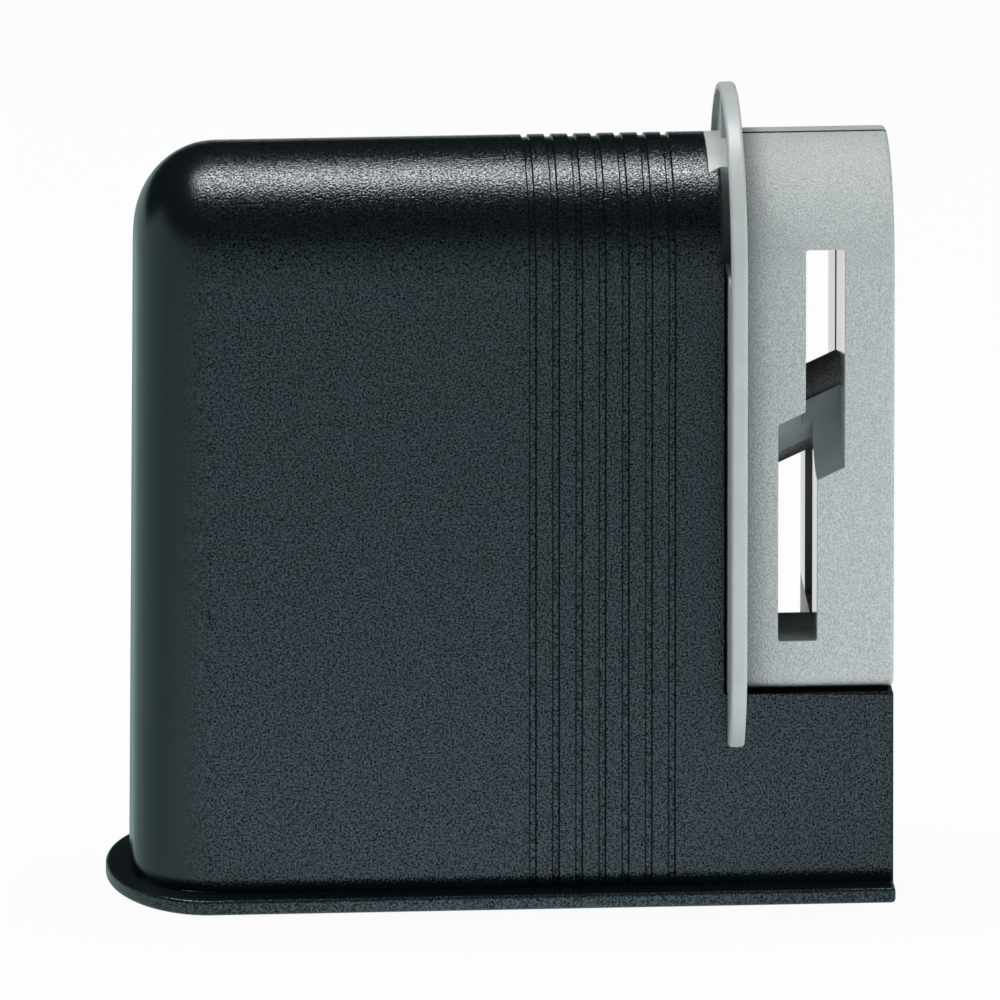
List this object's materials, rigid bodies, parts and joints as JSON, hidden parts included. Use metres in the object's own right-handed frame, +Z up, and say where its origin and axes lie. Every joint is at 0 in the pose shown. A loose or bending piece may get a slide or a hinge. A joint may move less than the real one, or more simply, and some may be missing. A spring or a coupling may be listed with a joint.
{
  "type": "scissors sharpener",
  "caption": "Free-standing scissors sharpener: hollow body on a base plate, with a lift-out guide head whose stepped slot leads both blades onto a slanted ceramic rod.",
  "frame": {"origin": "on the table, under the middle of the base plate", "axes": "+Z up, +X along the body towards the guide head, front face towards -Y"},
  "size_m": [0.083, 0.0348, 0.086],
  "materials": {
    "body_black": "fine spark-eroded grain, satin",
    "base_black": "fine spark-eroded grain, satin",
    "pad_rubber": "matt",
    "screw_steel": "zinc plated",
    "guide_grey": "fine grain on the block, smooth satin on the guard",
    "rod_ceramic": "sintered abrasive grain"
  },
  "bodies": {
    "body": {"body_shell": "body_black", "base_plate": "base_black", "base_pads": "pad_rubber", "base_screws": "screw_steel"},
    "guide_head": {"guide_front_half": "guide_grey", "guide_rear_half": "guide_grey", "guide_screws": "screw_steel"},
    "rod": {"sharpening_rod": "rod_ceramic"}
  },
  "joints": [
    {"name": "guide_head_lift", "type": "slide", "parent": "body", "child": "guide_head", "axis": [0, 0, 1], "range_m": [0, 0.065]},
    {"name": "rod_turn", "type": "hinge", "parent": "guide_head", "child": "rod", "pos_m": [0.03263, 0, 0.0506], "axis": [0.9063, 0, 0.4226], "continuous": true}
  ]
}
